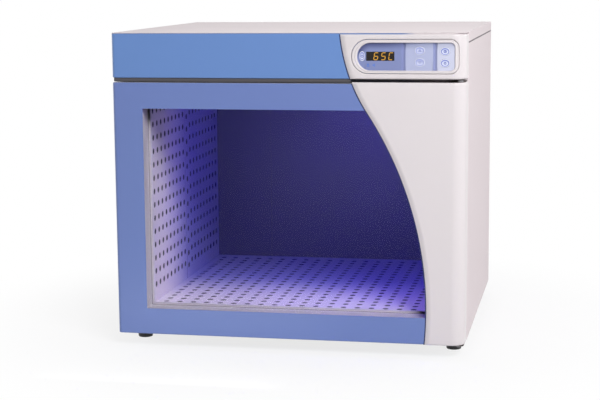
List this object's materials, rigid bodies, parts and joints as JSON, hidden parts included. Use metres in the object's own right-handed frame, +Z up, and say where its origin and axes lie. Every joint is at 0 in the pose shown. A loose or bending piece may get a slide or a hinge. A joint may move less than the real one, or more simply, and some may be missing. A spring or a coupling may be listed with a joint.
{
  "type": "blanket warming cabinet",
  "caption": "Counter-top warming cabinet with a glazed side-hung door, curved white cover over a blue front, sunk key panel and a perforated, fan-heated chamber.",
  "frame": {"origin": "under the middle of the cabinet, on the surface that it stands on", "axes": "+X to the right seen from the front, +Y to the rear, +Z up"},
  "size_m": [0.762, 0.711, 0.689],
  "materials": {
    "casing_white": "satin powder coat on folded sheet",
    "fascia_blue": "satin blue powder coat",
    "cover_white": "moulded, soft gloss",
    "overlay_lilac": "satin film over a moulded panel",
    "key_lilac": "moulded keys",
    "display_black": "smoked window",
    "board_green": "circuit board",
    "clear_glass": "clear tempered",
    "tape_black": "foam bonding tape",
    "gasket_grey": "extruded silicone",
    "liner_grey": "satin grey coat",
    "pull_grey": "moulded, fine texture",
    "chamber_enamel": "light grey satin coat",
    "lamp_aluminium": "extruded",
    "lamp_diffuser": "opal diffuser",
    "plated_steel": "zinc plated",
    "screw_steel": "plated fasteners",
    "heater_sheath": "oxidised tube",
    "motor_black": "black housing",
    "heat_sink": "finned",
    "module_black": "moulded",
    "magnet_black": "moulded housing",
    "bush_bronze": "sintered bronze",
    "foot_rubber": "moulded",
    "mineral_wool": "insulation slab"
  },
  "bodies": {
    "cabinet": {"base_pan": "casing_white", "side_panel_left": "casing_white", "side_panel_right": "casing_white", "rear_panel": "casing_white", "top_cover": "casing_white", "face_frame": "casing_white", "machine_screws": "screw_steel", "foot_front_left": "foot_rubber", "foot_front_right": "foot_rubber", "foot_rear_left": "foot_rubber", "foot_rear_right": "foot_rubber", "foot_screws": "screw_steel", "insulation_sides": "mineral_wool", "insulation_bottom": "mineral_wool", "insulation_top": "mineral_wool", "insulation_rear": "mineral_wool", "chamber_wrap": "chamber_enamel", "chamber_back": "chamber_enamel", "ceiling_panel": "chamber_enamel", "duct_panels_left": "chamber_enamel", "duct_panels_right": "chamber_enamel", "floor_panel": "chamber_enamel", "lamp_channel": "lamp_aluminium", "lamp_lens": "lamp_diffuser", "intake_guard": "plated_steel", "fan_motor": "motor_black", "heater_ring": "heater_sheath", "heater_clips": "plated_steel", "temperature_probe": "plated_steel", "limit_thermostat": "motor_black", "component_deck": "plated_steel", "power_supply": "plated_steel", "heater_relay": "heat_sink", "power_module": "module_black", "head_fascia": "fascia_blue", "control_cover": "cover_white", "bezel_ring": "cover_white", "control_overlay": "overlay_lilac", "display_module": "display_black", "control_board": "board_green", "hinge_brackets": "plated_steel", "hinge_pins": "screw_steel", "magnet_catch": "magnet_black"},
    "door": {"door_skin": "fascia_blue", "door_cover": "cover_white", "door_liner": "liner_grey", "glass_outer": "clear_glass", "glazing_tape": "tape_black", "glass_inner": "clear_glass", "door_gasket": "gasket_grey", "hinge_bushes": "bush_bronze", "edge_pull": "pull_grey", "strike_plate": "plated_steel"},
    "impeller": {"impeller": "plated_steel"},
    "rocker": {"rocker": "module_black"},
    "key_power": {"key_power": "key_lilac"},
    "key_up": {"key_up": "key_lilac"},
    "key_down": {"key_down": "key_lilac"},
    "key_timer": {"key_timer": "key_lilac"},
    "key_lamp": {"key_lamp": "key_lilac"}
  },
  "joints": [
    {"name": "door_swing", "type": "hinge", "parent": "cabinet", "child": "door", "pos_m": [0.367, -0.326, 0.306], "axis": [0, 0, 1], "range_deg": [0, 120]},
    {"name": "impeller_spin", "type": "hinge", "parent": "cabinet", "child": "impeller", "pos_m": [0, 0.03, 0.56], "axis": [0, 0, 1], "continuous": true},
    {"name": "rocker_tilt", "type": "hinge", "parent": "cabinet", "child": "rocker", "pos_m": [-0.283, 0.3504, 0.646], "axis": [1, 0, 0], "range_deg": [-20, 0]},
    {"name": "key_power_press", "type": "slide", "parent": "cabinet", "child": "key_power", "axis": [0, 1, 0], "range_m": [0, 0.001], "stiffness_N_per_m": 400},
    {"name": "key_up_press", "type": "slide", "parent": "cabinet", "child": "key_up", "axis": [0, 1, 0], "range_m": [0, 0.001], "stiffness_N_per_m": 400},
    {"name": "key_down_press", "type": "slide", "parent": "cabinet", "child": "key_down", "axis": [0, 1, 0], "range_m": [0, 0.001], "stiffness_N_per_m": 400},
    {"name": "key_timer_press", "type": "slide", "parent": "cabinet", "child": "key_timer", "axis": [0, 1, 0], "range_m": [0, 0.001], "stiffness_N_per_m": 400},
    {"name": "key_lamp_press", "type": "slide", "parent": "cabinet", "child": "key_lamp", "axis": [0, 1, 0], "range_m": [0, 0.001], "stiffness_N_per_m": 400}
  ]
}
